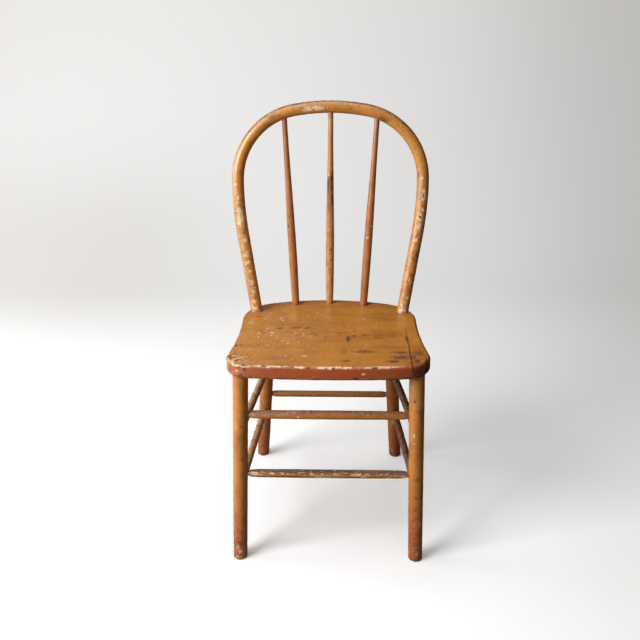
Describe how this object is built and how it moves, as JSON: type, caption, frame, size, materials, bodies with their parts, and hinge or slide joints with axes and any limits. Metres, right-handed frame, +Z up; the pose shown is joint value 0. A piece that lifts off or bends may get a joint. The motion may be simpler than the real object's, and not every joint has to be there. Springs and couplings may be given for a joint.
{
  "type": "peeling paint chair",
  "caption": "Hoop-back wooden kitchen chair with a plank seat, turned spindles and leg stretchers, its old ochre paint peeling to red and cream coats and bare wood.",
  "frame": {"origin": "on the floor, under the middle of the chair's outline seen from above", "axes": "+Z up, the front of the seat faces -Y, +X to the right as seen from the front"},
  "size_m": [0.41, 0.4189, 0.8682],
  "materials": {
    "seat_paint": "satin ochre house paint, flaking in specks, over a brick-red and a cream coat",
    "hoop_paint": "satin ochre house paint, chipped to cream along the arms",
    "spindle_brick": "old brick-red paint, the ochre coat mostly gone",
    "spindle_ochre": "ochre house paint with a dark worn patch",
    "front_leg_paint": "ochre house paint wearing to brick-red towards the feet",
    "rear_leg_paint": "thin ochre over brick-red paint, scuffed to cream",
    "speckled_rung": "ochre house paint, rubbed grey-brown and speckled on top",
    "worn_rung": "bare dark wood, polished by feet, with paint left along the lower edge",
    "side_rung": "greyed, rubbed paint over wood",
    "rear_rung": "thin brick-red and ochre paint"
  },
  "bodies": {
    "root": {"seat": "seat_paint", "back_hoop": "hoop_paint", "spindle_left": "spindle_brick", "spindle_center": "spindle_ochre", "spindle_right": "spindle_brick", "leg_front_left": "front_leg_paint", "leg_front_right": "front_leg_paint", "leg_rear_left": "rear_leg_paint", "leg_rear_right": "rear_leg_paint", "stretcher_front_upper": "speckled_rung", "stretcher_front_lower": "worn_rung", "stretcher_left_upper": "side_rung", "stretcher_left_lower": "side_rung", "stretcher_right_upper": "side_rung", "stretcher_right_lower": "side_rung", "stretcher_rear": "rear_rung"}
  },
  "joints": []
}
